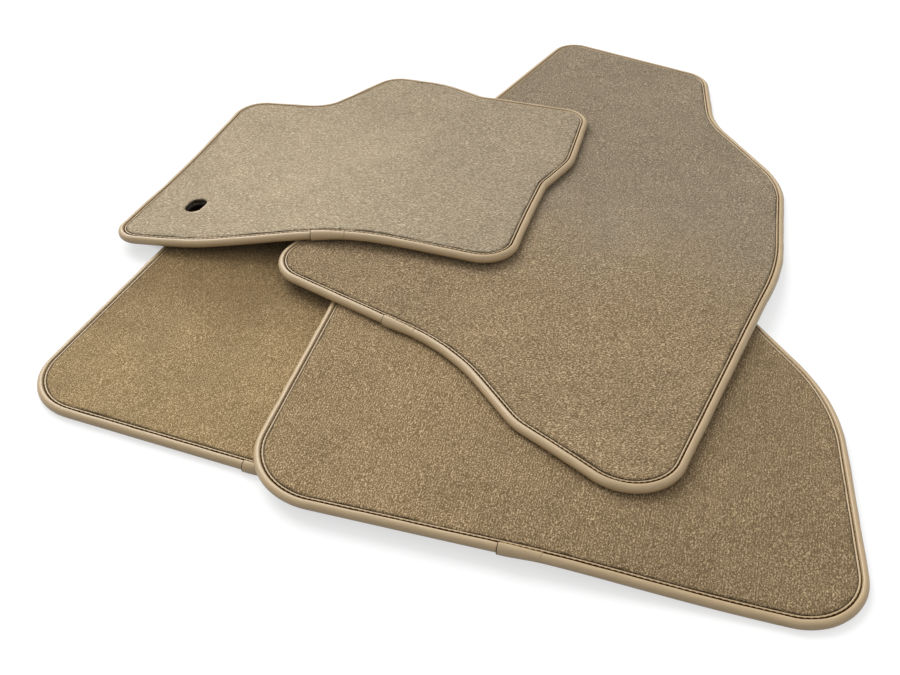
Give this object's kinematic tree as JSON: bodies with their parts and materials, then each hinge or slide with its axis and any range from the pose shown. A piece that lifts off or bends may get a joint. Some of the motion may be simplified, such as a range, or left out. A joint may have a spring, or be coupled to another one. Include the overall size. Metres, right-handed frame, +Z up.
{
  "type": "car floor mat set",
  "caption": "Set of overlapping velour car floor mats with rounded leatherette binding, the driver's with a slotted fixing hole, stacked flat for display.",
  "frame": {"origin": "on the floor under the middle of the set's bounding box", "axes": "+Z up, +X to the right and +Y away from someone facing the set from the rear right mat's long edge"},
  "size_m": [0.79, 1.002, 0.0424],
  "materials": {
    "velour_pile": "matte",
    "base_cloth": "matte",
    "backing_rubber": "matte",
    "binding_leatherette": "satin",
    "seam_thread": "matte"
  },
  "bodies": {
    "rear_left_mat": {"rear_left_backing": "backing_rubber", "rear_left_base_cloth": "base_cloth", "rear_left_pile": "velour_pile", "rear_left_binding": "binding_leatherette", "rear_left_binding_lap": "binding_leatherette", "rear_left_stitching": "seam_thread"},
    "rear_right_mat": {"rear_right_backing": "backing_rubber", "rear_right_base_cloth": "base_cloth", "rear_right_pile": "velour_pile", "rear_right_binding": "binding_leatherette", "rear_right_binding_lap": "binding_leatherette", "rear_right_stitching": "seam_thread"},
    "passenger_mat": {"passenger_backing": "backing_rubber", "passenger_base_cloth": "base_cloth", "passenger_pile": "velour_pile", "passenger_binding": "binding_leatherette", "passenger_binding_lap": "binding_leatherette", "passenger_stitching": "seam_thread"},
    "driver_mat": {"driver_backing": "backing_rubber", "driver_base_cloth": "base_cloth", "driver_pile": "velour_pile", "driver_binding": "binding_leatherette", "driver_binding_lap": "binding_leatherette", "driver_stitching": "seam_thread"}
  },
  "joints": [
    {"name": "rear_right_lift", "type": "slide", "parent": "rear_left_mat", "child": "rear_right_mat", "axis": [0, 0, 1], "range_m": [0, 0.3]},
    {"name": "passenger_lift", "type": "slide", "parent": "rear_right_mat", "child": "passenger_mat", "axis": [0, 0, 1], "range_m": [0, 0.3]},
    {"name": "driver_lift", "type": "slide", "parent": "passenger_mat", "child": "driver_mat", "axis": [0, 0, 1], "range_m": [0, 0.3]}
  ]
}
